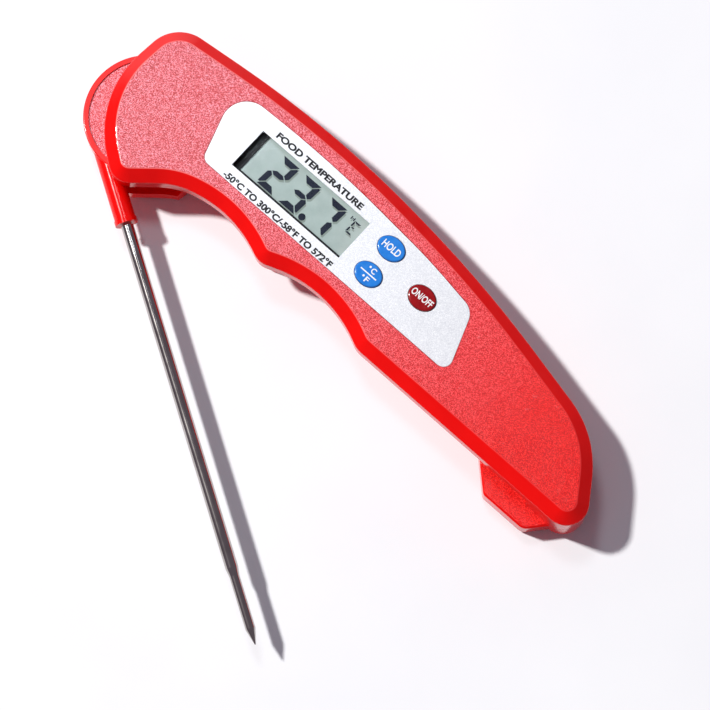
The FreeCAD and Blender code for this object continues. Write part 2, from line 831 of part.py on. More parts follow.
def make_board():
    body = new_body("circuit_board")
    sketch = body_sketch(body, "board_sketch", height="board_bottom")
    left, right, low, high = "board_left", "board_right", "board_low", "board_high"
    notch = "board_left + board_notch_x"
    polygon(sketch, [(left, low), (right, low), (right, high), (notch, high),
                     (left, "board_high - board_notch_y")])
    for x, y, name in board_screw_places():
        circle(sketch, "hole_" + name, x, y, "board_hole_radius")
    pad(body, "board_pad", sketch, "board_top - board_bottom")

    chip = new_body("processor_blob")
    dome = body_sketch(chip, "chip_sketch", height="board_bottom - chip_height")
    circle(dome, "chip", "chip_x", "chip_y", "chip_radius")
    block = pad(chip, "chip_pad", dome, "chip_height")
    rounded_top(chip, "chip_rounding", block, "board_bottom - chip_height", "chip_edge")

    pieces = []
    for name, x, y, length, width in COMPONENTS:
        low = ("%s - %s / 2" % (x, length), "%s - %s / 2" % (y, width), "board_bottom - component_height")
        high = ("%s + %s / 2" % (x, length), "%s + %s / 2" % (y, width), "board_bottom")
        pieces.append(box(name, low, high))
    subpart(fuse("components", *pieces), "board_components")

    switches = []
    for name in BUTTONS:
        x, y = button_place(name)
        low = (x + " - switch_size / 2", y + " - switch_size / 2", "board_top")
        high = (x + " + switch_size / 2", y + " + switch_size / 2", "switch_top")
        hole = cylinder(name + "_plunger", x, y, "switch_top - plunger_depth", "switch_top + over",
                        "plunger_radius")
        switches.append(cut(name + "_switch", box(name + "_switch_block", low, high), hole))
    subpart(fuse("switches", *switches), "tact_switches")


# ---------------------------------------------------------------- probe arm

def turn_open(thing):
    """Swing a piece of the folded arm about the pivot to the pose it is shown in."""
    bind(thing, Placement__Rotation__Angle="-open_angle")
    thing.Placement.Rotation = Rotation(Vector(0, 0, 1), -number("open_angle"))
    return thing


def lying_cylinder(name, start, end, radius):
    """Cylinder on the probe's own axis, in the folded pose."""
    solid = DOC.addObject("Part::Cylinder", name)
    solid.Placement.Rotation = Rotation(Vector(0, 1, 0), 90)
    place(solid, start, "-probe_offset", "parting_height")
    bind(solid, Radius=radius, Height="(%s) - (%s)" % (end, start))
    return solid


def make_hub():
    low, high = "slot_bottom + hub_gap", "slot_top - hub_gap"
    disc = rounded("hub_rounded", cylinder("hub_disc", "0", "0", low, high, "hub_radius"),
                   (low, "hub_rounding"), (high, "hub_rounding"))
    sleeve = lying_cylinder("sleeve", "-sleeve_root", "sleeve_length", "sleeve_radius")
    lip = lying_cylinder("sleeve_lip", "sleeve_length - sleeve_lip_length", "sleeve_length",
                         "sleeve_lip_radius")
    block = fuse("hub_block", disc, sleeve, lip)
    tools = [
        cylinder("hub_bore", "0", "0", "0", "case_thickness", "pivot_bore_radius"),
        cylinder("hub_front_face", "0", "0", high + " - hub_face_depth", high + " + over",
                 "hub_face_radius"),
        cylinder("hub_back_face", "0", "0", low + " - over", low + " + hub_face_depth",
                 "hub_face_radius"),
        ring("hub_pocket", low, low + " + pocket_depth", "pocket_outer_radius", "pocket_inner_radius"),
        lying_cylinder("sleeve_bore", "tube_start", "sleeve_length + over", "tube_root_radius"),
        lying_cylinder("sleeve_duct", "0", "tube_start + over", "tube_bore_radius"),
        box("duct_to_pocket",
            ("-hub_duct_half_width", "-probe_offset", "parting_height - hub_duct_half_width"),
            ("hub_duct_half_width", "-pocket_outer_radius + over", "parting_height + hub_duct_half_width")),
        box("pocket_to_bore",
            ("-pocket_inner_radius - over", "-hub_duct_half_width", "parting_height - hub_duct_half_width"),
            ("-pivot_boss_radius + over", "hub_duct_half_width", "parting_height + hub_duct_half_width")),
    ]
    hub = cut("hub", block, *tools)
    subpart(turn_open(hub), "probe_hub")
    cap = ring("hub_cap_ring", low + " + hub_face_depth", low + " + hub_face_depth + hub_cap_thickness",
               "pocket_outer_radius - fit_gap", "pocket_inner_radius + fit_gap")
    subpart(turn_open(cap), "hub_cap")


def make_probe_tube():
    """Hollow steel tube, necked down near its end and closed to a point."""
    body = new_body("probe_tube")
    sketch = body_sketch(body, "tube_profile", height="0")
    polygon(sketch, [
        ("tube_start", "tube_bore_radius"),
        ("tube_start", "tube_root_radius"),
        ("tube_shoulder", "tube_root_radius"),
        ("tube_shoulder", "tube_radius"),
        ("neck_start", "tube_radius"),
        ("neck_end", "neck_radius"),
        ("point_start", "neck_radius"),
        ("probe_tip", "tip_radius"),
        ("probe_tip", "0"),
        ("point_start", "0"),
        ("point_start - over", "neck_bore_radius"),
        ("neck_end", "neck_bore_radius"),
        ("neck_start", "tube_bore_radius"),
    ])
    revolved(body, "tube_turn", sketch)
    lay_on_probe_axis(body)


def lay_on_probe_axis(thing):
    """Move a piece that is built along X onto the axis of the opened probe."""
    angle = -number("open_angle")
    thing.Placement.Rotation = Rotation(Vector(0, 0, 1), angle)
    place(thing, "-probe_offset * sin(open_angle * 1 deg)", "-probe_offset * cos(open_angle * 1 deg)",
          "parting_height")
    bind(thing, Placement__Rotation__Angle="-open_angle")


def make_thermistor():
    body = new_body("thermistor_bead")
    sketch = body_sketch(body, "bead_profile", height="0")
    end = "point_start - bead_gap"
    start = end + " - bead_length"
    polygon(sketch, [
        (start, "0"),
        (start, "bead_back_radius"),
        (start + " + bead_back_taper", "bead_radius"),
        (end + " - bead_front_taper", "bead_radius"),
        (end, "bead_front_radius"),
        (end, "0"),
    ])
    revolved(body, "bead_turn", sketch)
    lay_on_probe_axis(body)


def rounded_path(points, bend):
    """Wire of straight runs joined by tangent arcs of one bend radius."""
    edges = []
    last = points[0]
    for before, corner, after in zip(points, points[1:], points[2:]):
        inward = (corner - before).normalize()
        outward = (after - corner).normalize()
        turn = inward.getAngle(outward)
        reach = bend * math.tan(turn / 2)
        start = corner - inward * reach
        end = corner + outward * reach
        towards = (outward - inward).normalize()
        middle = corner + towards * (bend / math.cos(turn / 2) - bend)
        edges.append(Part.LineSegment(last, start).toShape())
        edges.append(Part.Arc(start, middle, end).toShape())
        last = end
    edges.append(Part.LineSegment(last, points[-1]).toShape())
    return Part.Wire(edges)


def lead(points, radius, bend):
    """Round conductor along a rounded path."""
    path = rounded_path(points, bend)
    direction = (points[1] - points[0]).normalize()
    section = Part.Wire(Part.Circle(points[0], direction, radius).toShape())
    return path.makePipeShell([section], True, False)


def make_lead(name, *routes, radius="lead_radius", bend):
    """Conductors along routes of corners, each a triple of expressions."""
    solids = []
    for route in routes:
        corners = [Vector(*[number(value) for value in corner]) for corner in route]
        solids.append(lead(corners, number(radius), number(bend)))
    piece = DOC.addObject("Part::Feature", name + "_solids")
    piece.Shape = Part.makeCompound(solids) if len(solids) > 1 else solids[0]
    return subpart(piece, name)


def make_leads():
    """Two leads in the probe arm, two in the case to the board, and the battery return."""
    arm = []
    case = []
    for side in ("-", "+"):
        z = "parting_height %s lead_gap" % side
        arm.append([
            ("point_start - bead_gap - bead_length", "-probe_offset", z),
            ("0", "-probe_offset", z),
            ("0", "-arm_turn_radius", z),
            ("arm_turn_x", "arm_turn_y", z),
            ("-arm_side_radius", "0", z),
            ("-arm_end_radius", "0", z),
        ])
        near, wide = "0 %s lead_gap" % side, "0 %s case_lead_gap" % side
        end = wide + " + case_lead_rise"
        case.append([
            ("case_lead_x", near, "parting_height"),
            ("case_lead_x", near, "case_lead_z"),
            ("case_lead_turn_x", wide, "case_lead_z"),
            ("case_lead_end", wide, "case_lead_z"),
            ("case_lead_end + case_lead_rise", end, "case_lead_z"),
            ("case_lead_end + case_lead_rise", end, "board_bottom"),
        ])
    turn_open(make_lead("probe_leads", *arm, bend="arm_bend"))
    make_lead("board_leads", *case, bend="case_bend")
    back = [
        ("spring_plate_x", "return_y", "cell_z"),
        ("return_drop_x", "return_y", "cell_z"),
        ("return_low_x", "return_side_y", "return_low_z"),
        ("return_front_x", "return_side_y", "return_front_z"),
        ("return_rise_x", "return_turn_y", "return_front_z"),
        ("return_rise_x", "cell_y", "return_rise_z"),
        ("return_rise_x", "cell_y", "board_bottom"),
    ]
    make_lead("battery_lead", back, radius="return_radius", bend="return_bend")


# ---------------------------------------------------------------- pivot, fasteners, magnets

def make_washers():
    low, high = "slot_bottom + washer_play", "slot_bottom + hub_gap + hub_face_depth - washer_play"
    subpart(ring("washer_low", low, high, "washer_radius", "pivot_boss_radius + fit_gap"), "back_washer")
    low, high = "slot_top - hub_gap - hub_face_depth + washer_play", "slot_top - washer_play"
    subpart(ring("washer_high", low, high, "washer_radius", "pivot_boss_radius + fit_gap"), "front_washer")


def screw(name, x, y, head_bottom, head_length, head_radius, radius, end):
    """Pan-head screw, head down, with a cross recess half as deep as the head."""
    head_top = "(%s) + (%s)" % (head_bottom, head_length)
    head = cylinder(name + "_head", x, y, head_bottom, head_top, head_radius)
    shank = cylinder(name + "_shank", x, y, head_bottom, end, radius)
    blank = fuse(name + "_blank", head, shank)
    half, reach = "screw_slot_width / 2", "(%s) * screw_slot_reach" % head_radius
    arms = []
    for arm, (wide, deep) in enumerate(((half, reach), (reach, half))):
        low = ("%s - %s" % (x, wide), "%s - %s" % (y, deep), "(%s) - over" % head_bottom)
        high = ("%s + %s" % (x, wide), "%s + %s" % (y, deep), "(%s) + (%s) / 2" % (head_bottom, head_length))
        arms.append(box("%s_arm_%d" % (name, arm), low, high))
    return cut(name, blank, *arms)


def make_screws():
    seat = "screw_well_depth - screw_head_length"
    screws = []
    for x, y, name in screw_places():
        screws.append(screw("case_screw_" + name, x, y, seat, "screw_head_length", "screw_head_radius",
                            "screw_radius", "screw_end"))
    subpart(fuse("case_screw_set", *screws), "case_screws")
    pin = cylinder("pivot_dowel", "0", "0", "pivot_pin_start", "pivot_pin_end", "pivot_pin_radius")
    subpart(pin, "pivot_pin")
    screws = []
    for x, y, name in board_screw_places():
        screws.append(screw("board_screw_" + name, x, y, "board_bottom - board_screw_head_height",
                            "board_screw_head_height", "board_screw_head", "board_screw_radius",
                            "front_ceiling - board_screw_depth"))
    subpart(fuse("board_screw_set", *screws), "board_screws")


def make_magnets():
    discs = []
    for name, _, _ in MAGNETS:
        x, y = "magnet_%s_x" % name, "magnet_%s_y" % name
        discs.append(cylinder("magnet_" + name, x, y, "magnet_wall", "magnet_wall + magnet_thickness",
                              "magnet_radius"))
    subpart(fuse("magnet_set", *discs), "magnets")


# ---------------------------------------------------------------- battery

def make_battery():
    body = new_body("battery_cell")
    sketch = body_sketch(body, "cell_profile", height="0")
    polygon(sketch, [
        ("0", "0"),
        ("0", "cell_nub_radius"),
        ("cell_nub_length", "cell_nub_radius"),
        ("cell_nub_length", "cell_radius - cell_edge"),
        ("cell_nub_length + cell_edge", "cell_radius"),
        ("cell_length - cell_edge", "cell_radius"),
        ("cell_length", "cell_radius - cell_edge"),
        ("cell_length", "0"),
    ])
    revolved(body, "cell_turn", sketch)
    place(body, "cell_start", "cell_y", "cell_z")

    plate = box("contact_plate", ("contact_x", "cell_y - contact_half_width", "contact_bottom"),
                ("contact_x + contact_thickness", "cell_y + contact_half_width", "board_bottom"))
    tab = box("contact_tab",
              ("board_right - tab_length", "cell_y + tab_low", "board_bottom - contact_thickness"),
              ("contact_x + contact_thickness", "cell_y + tab_high", "board_bottom"))
    subpart(fuse("contact", plate, tab), "positive_contact")

    height = number("spring_turns * spring_pitch")
    taper = -math.degrees(math.atan2(number("spring_taper"), height))
    coil = Part.makeHelix(number("spring_pitch"), height, number("spring_radius"), taper)
    start = Vector(number("spring_radius"), 0, 0)
    section = Part.Wire(Part.Circle(start, Vector(0, 1, 0), number("spring_wire_radius")).toShape())
    spring = Part.Wire(coil).makePipeShell([section], True, True)
    spring.rotate(Vector(0, 0, 0), Vector(0, 1, 0), -90)
    spring.translate(Vector(number("spring_plate_x"), number("spring_y"), number("cell_z")))
    sides = [number(text) for text in ("contact_thickness", "spring_plate_width", "spring_plate_height")]
    places = ("spring_plate_x", "spring_plate_low", "cell_z - spring_plate_height / 2")
    back_plate = Part.makeBox(*sides, Vector(*[number(text) for text in places]))
    negative = DOC.addObject("Part::Feature", "negative_coil")
    negative.Shape = spring.fuse(back_plate)
    subpart(negative, "negative_spring")


# ---------------------------------------------------------------- build, check and export

def report_state():
    """Stop when any object failed to compute or any piece is not a sound solid."""
    failed = [thing.Name for thing in DOC.Objects if "Invalid" in thing.State or "Error" in thing.State]
    if failed:
        raise RuntimeError("failed objects: " + ", ".join(failed))
    for thing in SUBPARTS:
        shape = thing.Shape
        if shape.isNull() or not shape.isValid() or not shape.Solids:
            raise RuntimeError("bad shape: " + thing.Label)


def export_parts():
    os.makedirs("parts", exist_ok=True)
    for thing in SUBPARTS:
        thing.Shape.exportStep(os.path.join("parts", thing.Label + ".step"))
        bounds = thing.Shape.BoundBox
        low = (bounds.XMin, bounds.YMin, bounds.ZMin)
        high = (bounds.XMax, bounds.YMax, bounds.ZMax)
        extent = " ".join("%.2f..%.2f" % pair for pair in zip(low, high))
        print("%-18s solids %d volume %.1f box %s" % (thing.Label, len(thing.Shape.Solids),
                                                     thing.Shape.Volume, extent))


def main():
    fill_sheet()
    profile, mask, slot, cavity, pocket, seam = case_tools()
    label = make_front_cover(profile, slot, cavity, pocket, seam)
    make_back_cover(profile, mask, slot, cavity, seam)
    make_battery_door(profile)
    make_label(label)
    make_display()
    for name in BUTTONS:
        make_button(name)
    make_board()
    make_hub()
    make_probe_tube()
    make_thermistor()
    make_leads()
    make_washers()
    make_screws()
    make_magnets()
    make_battery()
    DOC.recompute()
    report_state()
    export_parts()


main()
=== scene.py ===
import json
import math

import bmesh
import bpy
from mathutils import Matrix, Vector


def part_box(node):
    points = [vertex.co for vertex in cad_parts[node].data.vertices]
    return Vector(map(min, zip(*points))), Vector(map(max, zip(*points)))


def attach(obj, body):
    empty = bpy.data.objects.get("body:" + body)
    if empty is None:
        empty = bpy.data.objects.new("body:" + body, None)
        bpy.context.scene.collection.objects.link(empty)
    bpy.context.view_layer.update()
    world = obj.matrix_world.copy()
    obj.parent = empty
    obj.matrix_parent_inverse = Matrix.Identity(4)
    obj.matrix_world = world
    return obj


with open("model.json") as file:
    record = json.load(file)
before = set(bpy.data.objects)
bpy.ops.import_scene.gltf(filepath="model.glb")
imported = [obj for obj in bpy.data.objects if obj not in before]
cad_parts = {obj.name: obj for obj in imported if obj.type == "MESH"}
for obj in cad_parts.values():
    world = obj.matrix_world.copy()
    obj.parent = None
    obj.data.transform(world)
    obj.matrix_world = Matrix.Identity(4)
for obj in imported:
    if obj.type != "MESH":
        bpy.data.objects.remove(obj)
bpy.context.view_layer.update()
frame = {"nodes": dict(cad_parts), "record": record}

MM = 0.001
HANDLE_MIDDLE = (0.07, -0.01, 0)  # where the lights aim, in metres

# In millimetres.
HEAD_X, TAIL_X = 15, 115          # ends of the fade from painted sheen to plain grain, and of the painted highlight's fade, along the case
ARM_LEVEL, ARM_ROOM = 8.7, 3.0    # height of the arm's middle, and how far it reaches from there
ARM_BAND = (20.3, 6.5)            # hub rim and sleeve: distance from the pivot, and room each way
RIM_BAND = (14.5, 0.7)            # flat edge of the hub's rim, in the same way
PRINT = 0.02                      # thickness of printed marks
SHADOW = 0.008                    # thickness of the display's shadow
SHADOW_SHIFT = (0.42, -0.38)      # how far it falls from the segments
LABEL_WEIGHT, KEY_WEIGHT = 0.44, 0.22  # boldness of the lettering, before it is scaled

LABEL_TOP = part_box("label_overlay")[1].z
KEY_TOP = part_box("hold_button")[1].z
GLASS_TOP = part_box("display_glass")[1].z


# ---------------------------------------------------------------- shader helpers

def surface(name, **values):
    """New material with a Principled shader whose sockets hold the given values."""
    made = bpy.data.materials.new(name)
    made.use_nodes = True
    shader = made.node_tree.nodes["Principled BSDF"]
    for socket, value in values.items():
        shader.inputs[socket.replace("_", " ")].default_value = value
    return made, made.node_tree, shader


def grain(tree, size, detail=3.0, stretch=(1, 1, 1)):
    """Noise in the object's own coordinates, with features of a size in millimetres."""
    place = tree.nodes.new("ShaderNodeTexCoord")
    spread = tree.nodes.new("ShaderNodeMapping")
    spread.inputs["Scale"].default_value = stretch
    noise = tree.nodes.new("ShaderNodeTexNoise")
    noise.inputs["Scale"].default_value = 1 / (size * MM)
    noise.inputs["Detail"].default_value = detail
    tree.links.new(place.outputs["Object"], spread.inputs["Vector"])
    tree.links.new(spread.outputs["Vector"], noise.inputs["Vector"])
    return noise.outputs["Fac"]


def speckles(tree, size):
    """Random brightness per small cell, as flakes have."""
    place = tree.nodes.new("ShaderNodeTexCoord")
    cells = tree.nodes.new("ShaderNodeTexVoronoi")
    cells.inputs["Scale"].default_value = 1 / (size * MM)
    tree.links.new(place.outputs["Object"], cells.inputs["Vector"])
    split = tree.nodes.new("ShaderNodeSeparateColor")
    tree.links.new(cells.outputs["Color"], split.inputs["Color"])
    return split.outputs["Red"]


def facing(tree):
    """How far a surface faces along Z, up or down, from 0 on walls to 1 on flat faces."""
    place = tree.nodes.new("ShaderNodeTexCoord")
    split = tree.nodes.new("ShaderNodeSeparateXYZ")
    size = tree.nodes.new("ShaderNodeMath")
    size.operation = "ABSOLUTE"
    tree.links.new(place.outputs["Normal"], split.inputs["Vector"])
    tree.links.new(split.outputs["Z"], size.inputs[0])
    return size.outputs[0]


def hub_band(tree, middle, room):
    """1 on the arm's hub and sleeve within some room of a distance from the pivot, in millimetres."""
    place = tree.nodes.new("ShaderNodeTexCoord")
    split = tree.nodes.new("ShaderNodeSeparateXYZ")
    plan = tree.nodes.new("ShaderNodeVectorMath")
    plan.operation = "MULTIPLY"
    plan.inputs[1].default_value = (1, 1, 0)
    reach = tree.nodes.new("ShaderNodeVectorMath")
    reach.operation = "LENGTH"
    tree.links.new(place.outputs["Object"], split.inputs["Vector"])
    tree.links.new(place.outputs["Object"], plan.inputs[0])
    tree.links.new(plan.outputs["Vector"], reach.inputs[0])
    return combine(tree, "MULTIPLY", near(tree, reach.outputs["Value"], middle, room),
                   near(tree, split.outputs["Z"], ARM_LEVEL, ARM_ROOM))


def along_case(tree):
    """0 at the head of the case, 1 at its tail."""
    place = tree.nodes.new("ShaderNodeTexCoord")
    split = tree.nodes.new("ShaderNodeSeparateXYZ")
    tree.links.new(place.outputs["Object"], split.inputs["Vector"])
    return between(tree, split.outputs["X"], 0.0, 1.0, start=HEAD_X * MM, end=TAIL_X * MM)


def near(tree, source, middle, room):
    """1 where a length is within some room of a middle, both in millimetres."""
    node = tree.nodes.new("ShaderNodeMath")
    node.operation = "COMPARE"
    node.inputs[1].default_value = middle * MM
    node.inputs[2].default_value = room * MM
    tree.links.new(source, node.inputs[0])
    return node.outputs[0]


def between(tree, source, low, high, start=0.3, end=0.7):
    """Source rescaled so that start gives low and end gives high."""
    scale = tree.nodes.new("ShaderNodeMapRange")
    scale.inputs["From Min"].default_value = start
    scale.inputs["From Max"].default_value = end
    scale.inputs["To Min"].default_value = low
    scale.inputs["To Max"].default_value = high
    tree.links.new(source, scale.inputs["Value"])
    return scale.outputs["Result"]


def combine(tree, operation, first, second):
    """Result of one math operation on two sources."""
    node = tree.nodes.new("ShaderNodeMath")
    node.operation = operation
    tree.links.new(first, node.inputs[0])
    tree.links.new(second, node.inputs[1])
    return node.outputs[0]


def colours(tree, source, *stops):
    """Colour ramp over a grey source."""
    ramp = tree.nodes.new("ShaderNodeValToRGB")
    elements = ramp.color_ramp.elements
    while len(elements) < len(stops):
        elements.new(0.5)
    for element, (position, colour) in zip(elements, stops):
        element.position = position
        element.color = (*colour, 1)
    tree.links.new(source, ramp.inputs["Fac"])
    return ramp.outputs["Color"]


def two_tone(tree, source, dark, light):
    """Colour that moves from dark to light over the middle of a noise."""
    return colours(tree, source, (0.3, dark), (0.7, light))


def blend_colours(tree, share, first, second):
    """First colour where the share is 0, second where it is 1."""
    mix = tree.nodes.new("ShaderNodeMix")
    mix.data_type = "RGBA"
    tree.links.new(share, mix.inputs["Factor"])
    tree.links.new(first, mix.inputs["A"])
    tree.links.new(second, mix.inputs["B"])
    return mix.outputs["Result"]


def relief(tree, shader, *heights):
    """Bump from several (source, depth in millimetres) pairs, one after another."""
    normal = None
    for source, depth in heights:
        bump = tree.nodes.new("ShaderNodeBump")
        bump.inputs["Distance"].default_value = depth * MM
        tree.links.new(source, bump.inputs["Height"])
        if normal:
            tree.links.new(normal, bump.inputs["Normal"])
        normal = bump.outputs["Normal"]
    tree.links.new(normal, shader.inputs["Normal"])


def feed(tree, shader, socket, source):
    """Link a source to a socket of the shader."""
    tree.links.new(source, shader.inputs[socket])


# ---------------------------------------------------------------- materials

def red_shell():
    """Moulded ABS: spark-eroded grain on the flat faces, polished on bevels, walls, hub rim and sleeve.
    Painted sheen makes the grain paler and pinker at the head, and a painted highlight lines the bevel's
    inner edge.
    """
    made, tree, shader = surface("red_shell", IOR=1.50)
    upright = facing(tree)
    level = between(tree, upright, 0.0, 1.0, start=0.975, end=0.997)
    elsewhere = between(tree, hub_band(tree, *ARM_BAND), 1.0, 0.0, 0, 1)
    flat = combine(tree, "MULTIPLY", level, elsewhere)
    rim = combine(tree, "MULTIPLY", level, hub_band(tree, *RIM_BAND))
    to_tail = along_case(tree)
    fine = grain(tree, 0.19, detail=2.0)
    slow = grain(tree, 9.0)
    polished = two_tone(tree, slow, (0.74, 0.0020, 0.0012), (0.82, 0.0030, 0.0018))
    plain = colours(tree, fine, (0.40, (0.50, 0.0006, 0.0006)), (0.51, (0.80, 0.0008, 0.0008)),
                    (0.62, (1.00, 0.045, 0.036)))
    # Pale pink flecks and a pink cast painted on the grain at the head: painted sheen and glints of light
    painted_sheen_grain = colours(tree, fine, (0.41, (0.42, 0.0010, 0.0020)), (0.50, (0.74, 0.0180, 0.0300)),
                      (0.60, (1.00, 0.380, 0.460)))
    # Painted sheen at the head fades into the plain grain towards the tail
    grain_and_painted_sheen = blend_colours(tree, to_tail, painted_sheen_grain, plain)
    moulded_and_painted_sheen = blend_colours(tree, flat, polished, grain_and_painted_sheen)
    # Painted highlight: a pale pink line on the rounding between the flat face and the bevel, weaker towards
    # the tail, not on the hub or sleeve
    edge = combine(tree, "MULTIPLY", between(tree, upright, 0.0, 1.0, start=0.82, end=0.86),
                   between(tree, upright, 1.0, 0.0, start=0.985, end=0.996))
    fading = between(tree, to_tail, 1.0, 0.2, 0, 1)
    painted_highlight_mask = combine(tree, "MULTIPLY", edge, combine(tree, "MULTIPLY", elsewhere, fading))
    painted_highlight_colour = two_tone(tree, slow, (0.86, 0.13, 0.13), (0.94, 0.22, 0.22))
    feed(tree, shader, "Base Color", blend_colours(tree, painted_highlight_mask, moulded_and_painted_sheen, painted_highlight_colour))
    feed(tree, shader, "Specular IOR Level", between(tree, flat, 0.35, 0.60, 0, 1))
    wear = between(tree, grain(tree, 2.5, detail=6.0), -0.03, 0.04)
    satin = combine(tree, "ADD", between(tree, flat, 0.13, 0.24, 0, 1), between(tree, rim, 0.0, 0.32, 0, 1))
    feed(tree, shader, "Roughness", combine(tree, "ADD", satin, wear))
    pits = combine(tree, "MULTIPLY", fine, flat)
    relief(tree, shader, (slow, 0.02), (pits, 0.05))
    return made


def label_film():
    """Pearl-silver printed film with fine flakes."""
    made, tree, shader = surface("label_film", Metallic=0.30, IOR=1.5, Coat_Weight=0.35, Coat_Roughness=0.12)
    flakes = speckles(tree, 0.16)
    feed(tree, shader, "Base Color", colours(tree, flakes, (0.0, (0.67, 0.675, 0.71)),
                                            (0.8, (0.83, 0.835, 0.86)), (1.0, (0.96, 0.96, 0.97))))
    feed(tree, shader, "Roughness", between(tree, grain(tree, 1.5, detail=5.0), 0.30, 0.42))
    relief(tree, shader, (flakes, 0.006), (grain(tree, 6.0), 0.01))
    return made


def clear_window():
    """Clear acrylic pane with faint wipe marks."""
    made, tree, shader = surface("clear_window", IOR=1.49, Transmission_Weight=1.0)
    feed(tree, shader, "Base Color", two_tone(tree, grain(tree, 5.0), (0.95, 0.97, 0.96), (0.99, 1.0, 0.99)))
    wipes = grain(tree, 1.2, detail=6.0, stretch=(0.15, 1, 1))
    feed(tree, shader, "Roughness", between(tree, wipes, 0.0, 0.03))
    clear = tree.nodes.new("ShaderNodeBsdfTransparent")
    gloss = tree.nodes.new("ShaderNodeFresnel")
    gloss.inputs["IOR"].default_value = 1.35
    mix = tree.nodes.new("ShaderNodeMixShader")
    tree.links.new(gloss.outputs["Fac"], mix.inputs["Fac"])
    tree.links.new(clear.outputs["BSDF"], mix.inputs[1])
    tree.links.new(shader.outputs["BSDF"], mix.inputs[2])
    tree.links.new(mix.outputs["Shader"], tree.nodes["Material Output"].inputs["Surface"])
    return made


def black_bezel():
    """Black print on the frame round the display."""
    made, tree, shader = surface("black_bezel", Specular_IOR_Level=0.2)
    feed(tree, shader, "Base Color", two_tone(tree, grain(tree, 0.4), (0.006, 0.006, 0.008),
                                              (0.016, 0.016, 0.020)))
    feed(tree, shader, "Roughness", between(tree, grain(tree, 1.0), 0.32, 0.45))
    relief(tree, shader, (grain(tree, 0.2), 0.004))
    return made


def display_cell():
    """Grey-green reflective liquid crystal cell."""
    made, tree, shader = surface("display_cell", IOR=1.5, Coat_Weight=0.4, Coat_Roughness=0.08)
    feed(tree, shader, "Base Color", two_tone(tree, grain(tree, 3.0, detail=5.0), (0.300, 0.385, 0.370),
                                              (0.350, 0.440, 0.425)))
    feed(tree, shader, "Roughness", between(tree, speckles(tree, 0.12), 0.45, 0.62, 0, 1))
    relief(tree, shader, (grain(tree, 0.12), 0.003))
    return made


def zebra_rubber():
    """Layered conductive rubber strip."""
    made, tree, shader = surface("zebra_rubber")
    feed(tree, shader, "Base Color", colours(tree, grain(tree, 0.5, stretch=(4, 0.2, 0.2)),
                                            (0.45, (0.03, 0.03, 0.03)), (0.55, (0.45, 0.44, 0.38))))
    feed(tree, shader, "Roughness", between(tree, grain(tree, 0.6), 0.55, 0.75))
    relief(tree, shader, (grain(tree, 0.3), 0.02))
    return made


def key_plastic(name, dark, light):
    """Smooth moulded ABS of a key, slightly worn in the middle."""
    made, tree, shader = surface(name, IOR=1.46)
    feed(tree, shader, "Base Color", two_tone(tree, grain(tree, 1.6, detail=4.0), dark, light))
    feed(tree, shader, "Roughness", between(tree, grain(tree, 0.8, detail=6.0), 0.10, 0.20))
    relief(tree, shader, (grain(tree, 0.25), 0.003), (grain(tree, 2.2), 0.012))
    return made


def blue_key():
    return key_plastic("blue_key", (0.012, 0.175, 0.62), (0.022, 0.220, 0.70))


def red_key():
    return key_plastic("red_key", (0.25, 0.002, 0.004), (0.32, 0.005, 0.007))


def board_laminate():
    """Green solder mask over the weave of the laminate."""
    made, tree, shader = surface("board_laminate", Coat_Weight=0.3)
    weave = grain(tree, 0.35, stretch=(1, 3, 1))
    feed(tree, shader, "Base Color", colours(tree, weave, (0.35, (0.010, 0.085, 0.030)),
                                            (0.65, (0.022, 0.150, 0.055))))
    feed(tree, shader, "Roughness", between(tree, grain(tree, 2.0), 0.28, 0.45))
    relief(tree, shader, (weave, 0.015))
    return made


def black_epoxy():
    """Cast black epoxy with a dull skin."""
    made, tree, shader = surface("black_epoxy")
    feed(tree, shader, "Base Color", two_tone(tree, grain(tree, 0.5), (0.008, 0.008, 0.009),
                                              (0.024, 0.023, 0.024)))
    feed(tree, shader, "Roughness", between(tree, grain(tree, 1.1), 0.35, 0.60))
    relief(tree, shader, (grain(tree, 0.3), 0.02))
    return made


def metal(name, dark, light, smooth, rough, size=0.5, stretch=(1, 1, 1), depth=0.004):
    """Bare or plated metal with drawing marks and handling marks."""
    made, tree, shader = surface(name, Metallic=1.0)
    marks = grain(tree, size, detail=5.0, stretch=stretch)
    feed(tree, shader, "Base Color", two_tone(tree, grain(tree, size * 6, detail=4.0), dark, light))
    feed(tree, shader, "Roughness", between(tree, marks, smooth, rough))
    relief(tree, shader, (marks, depth))
    return made


def component_body():
    return metal("component_body", (0.50, 0.49, 0.46), (0.66, 0.65, 0.62), 0.30, 0.50)


def probe_steel():
    return metal("probe_steel", (0.42, 0.39, 0.37), (0.52, 0.49, 0.47), 0.08, 0.15, size=0.8,
                 stretch=(0.12, 0.12, 1), depth=0.001)


def spring_steel():
    return metal("spring_steel", (0.46, 0.45, 0.43), (0.58, 0.57, 0.55), 0.22, 0.38)


def screw_steel():
    return metal("screw_steel", (0.36, 0.36, 0.37), (0.52, 0.52, 0.53), 0.25, 0.45)


def magnet_plating():
    return metal("magnet_plating", (0.60, 0.59, 0.57), (0.72, 0.71, 0.69), 0.10, 0.22)


def lead_insulation():
    """Soft wire insulation."""
    made, tree, shader = surface("lead_insulation")
    feed(tree, shader, "Base Color", two_tone(tree, grain(tree, 2.0), (0.42, 0.02, 0.02), (0.58, 0.04, 0.03)))
    feed(tree, shader, "Roughness", between(tree, grain(tree, 0.5), 0.40, 0.60))
    relief(tree, shader, (grain(tree, 0.3), 0.01))
    return made


